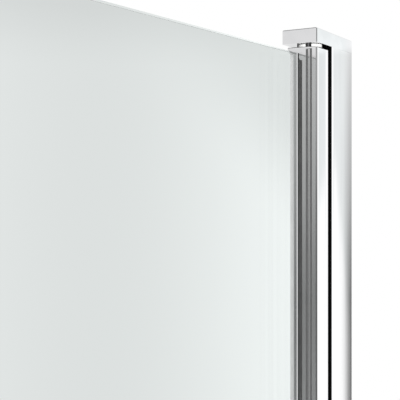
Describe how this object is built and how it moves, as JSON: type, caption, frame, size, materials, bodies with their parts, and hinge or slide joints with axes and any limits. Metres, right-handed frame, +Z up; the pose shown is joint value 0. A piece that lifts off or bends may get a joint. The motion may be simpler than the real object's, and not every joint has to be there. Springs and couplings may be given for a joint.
{
  "type": "pivot shower door",
  "caption": "Frameless glass pivot shower door: the pane is bonded to a turning post that swings on pins between caps on a wall post, with a strike post and threshold",
  "frame": {"origin": "on the tray, midway between the two walls, in the middle of the glass", "axes": "+X toward the hinge wall, +Y into the shower, +Z up"},
  "size_m": [0.8, 0.094, 1.9],
  "materials": {
    "polished_profile": "polished",
    "chrome": "polished",
    "mill_aluminium": "satin",
    "steel_fixings": "satin",
    "dark_steel": "satin",
    "white_nylon": "satin",
    "grey_plastic": "satin",
    "plated_plastic": "polished",
    "trim_strip": "gloss",
    "dark_gasket": "matte",
    "black_rubber": "matte",
    "bonding_strip": "satin",
    "clear_glass": "gloss",
    "clear_pvc": "gloss",
    "magnet_strip": "matte"
  },
  "bodies": {
    "frame": {"top_pivot_cap": "chrome", "top_cap_screws": "steel_fixings", "top_pivot_pin": "dark_steel", "top_spacer_clip": "white_nylon", "hinge_post": "polished_profile", "hinge_gap_seal": "black_rubber", "hinge_wall_channel": "mill_aluminium", "hinge_post_screws": "steel_fixings", "hinge_screw_covers": "chrome", "bottom_pivot_block": "chrome", "bottom_block_screws": "steel_fixings", "bottom_pivot_pin": "dark_steel", "bottom_thrust_washer": "white_nylon", "strike_post": "polished_profile", "strike_wall_channel": "mill_aluminium", "strike_post_screws": "steel_fixings", "strike_screw_covers": "chrome", "strike_top_cap": "chrome", "strike_cap_screws": "steel_fixings", "strike_magnet_holder": "clear_pvc", "strike_magnet": "magnet_strip", "threshold_bar": "polished_profile", "threshold_end_plugs": "grey_plastic"},
    "door": {"pivot_stile": "polished_profile", "stile_top_cap": "plated_plastic", "stile_bottom_cap": "plated_plastic", "top_pivot_bush": "white_nylon", "bottom_pivot_bush": "white_nylon", "stile_bead": "trim_strip", "stile_gasket": "dark_gasket", "glass_carrier": "polished_profile", "glass_bond": "bonding_strip", "glass_panel": "clear_glass", "edge_seal": "clear_pvc", "edge_magnet": "magnet_strip", "drip_seal": "clear_pvc", "outer_handle_bar": "chrome", "inner_handle_bar": "chrome", "outer_handle_posts": "chrome", "inner_handle_posts": "chrome", "handle_studs": "steel_fixings", "handle_sleeves": "clear_pvc", "handle_washers": "clear_pvc"}
  },
  "joints": [
    {"name": "door_pivot", "type": "hinge", "parent": "frame", "child": "door", "pos_m": [0.31643, -0.0156, 0.95], "axis": [0, 0, 1], "range_deg": [0, 90]}
  ]
}
